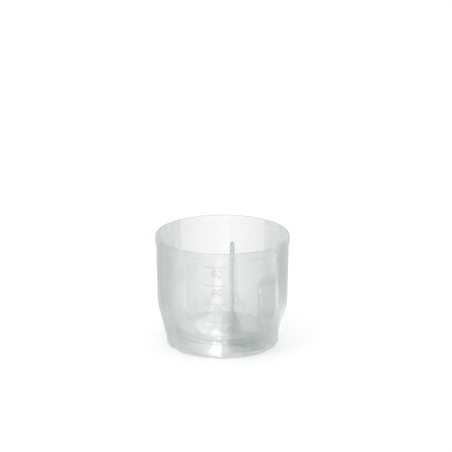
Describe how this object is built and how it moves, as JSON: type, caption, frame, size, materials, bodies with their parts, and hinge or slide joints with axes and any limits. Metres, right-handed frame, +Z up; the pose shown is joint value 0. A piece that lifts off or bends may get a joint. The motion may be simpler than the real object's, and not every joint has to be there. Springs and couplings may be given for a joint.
{
  "type": "fuel sampler cup",
  "caption": "Clear round sampling cup on a sixteen-sided foot, with an upright drain pin inside, level marks on its front and a sprung clip on its side.",
  "frame": {"origin": "middle of the flat face that the foot stands on", "axes": "+Z up along the cup's axis towards the rim; -Y is the front, where the level marks are; +X to the right"},
  "size_m": [0.06, 0.06, 0.05],
  "materials": {
    "clear_cup": "clear moulded, glossy",
    "clear_floor": "clear moulded, glossy",
    "smoke_pin": "smoke grey, translucent",
    "grey_socket": "smoke grey, translucent",
    "seal_rubber": "matt black",
    "clear_clip": "clear moulded, glossy"
  },
  "bodies": {
    "cup": {"cup_body": "clear_cup", "floor_disc": "clear_floor", "pin_collar": "grey_socket", "pin_seal": "seal_rubber", "pin_socket": "grey_socket", "clip_saddle": "clear_clip"},
    "pin": {"drain_pin": "smoke_pin"},
    "tongue": {"clip_tongue": "clear_clip"}
  },
  "joints": [
    {"name": "pin_pull", "type": "slide", "parent": "cup", "child": "pin", "axis": [0, 0, 1], "range_m": [0, 0.009]},
    {"name": "clip_flex", "type": "hinge", "parent": "cup", "child": "tongue", "pos_m": [0.02026, -0.02289, 0.0346], "axis": [-0.749, -0.6626, 0], "range_deg": [0, 6], "stiffness_Nm_per_rad": 0.35}
  ]
}
